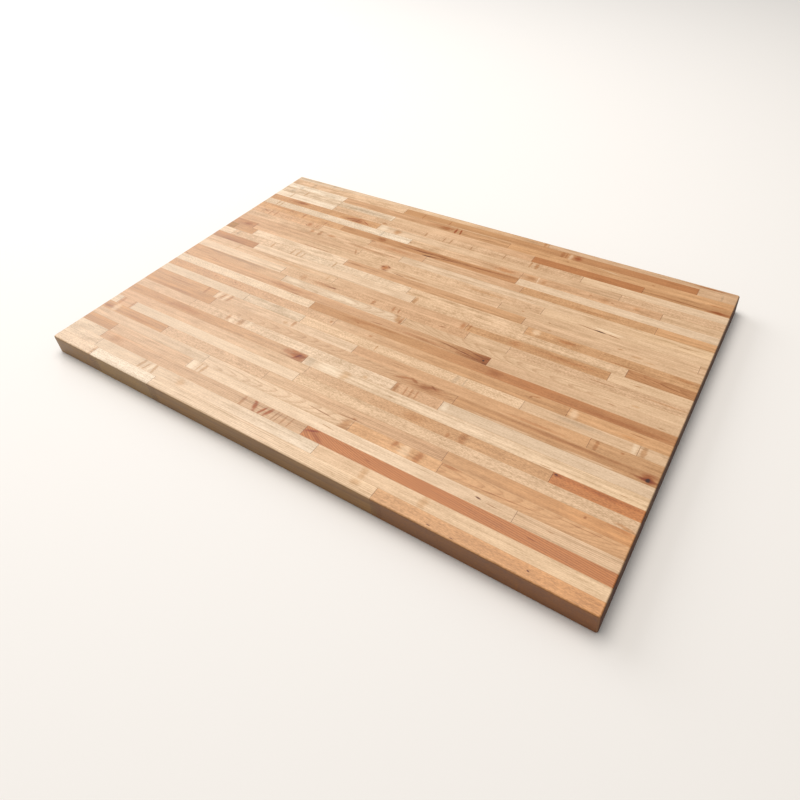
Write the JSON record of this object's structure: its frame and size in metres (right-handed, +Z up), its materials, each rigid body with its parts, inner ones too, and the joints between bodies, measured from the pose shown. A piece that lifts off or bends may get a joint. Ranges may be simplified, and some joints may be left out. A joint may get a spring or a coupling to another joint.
{
  "type": "butcher block table top",
  "caption": "Rectangular edge-grain maple butcher block top: long strips glued edge to edge, each made of staves finger-jointed end to end, with a rounded-over rim.",
  "frame": {"origin": "middle of the underside, on the surface that the top rests on", "axes": "+X along the strips towards the right-hand end, +Y across the strips towards the back edge, +Z up out of the working face"},
  "size_m": [1.22, 0.813, 0.0445],
  "materials": {
    "maple": "hard maple, sanded and oiled, satin"
  },
  "bodies": {
    "root": {"front_strip": "maple", "strip_02": "maple", "strip_03": "maple", "strip_04": "maple", "strip_05": "maple", "strip_06": "maple", "strip_07": "maple", "strip_08": "maple", "strip_09": "maple", "strip_10": "maple", "strip_11": "maple", "strip_12": "maple", "strip_13": "maple", "strip_14": "maple", "strip_15": "maple", "strip_16": "maple", "strip_17": "maple", "strip_18": "maple", "strip_19": "maple", "strip_20": "maple", "strip_21": "maple", "strip_22": "maple", "strip_23": "maple", "strip_24": "maple", "strip_25": "maple", "strip_26": "maple", "strip_27": "maple", "strip_28": "maple", "strip_29": "maple", "strip_30": "maple", "strip_31": "maple", "strip_32": "maple", "strip_33": "maple", "back_strip": "maple"}
  },
  "joints": []
}
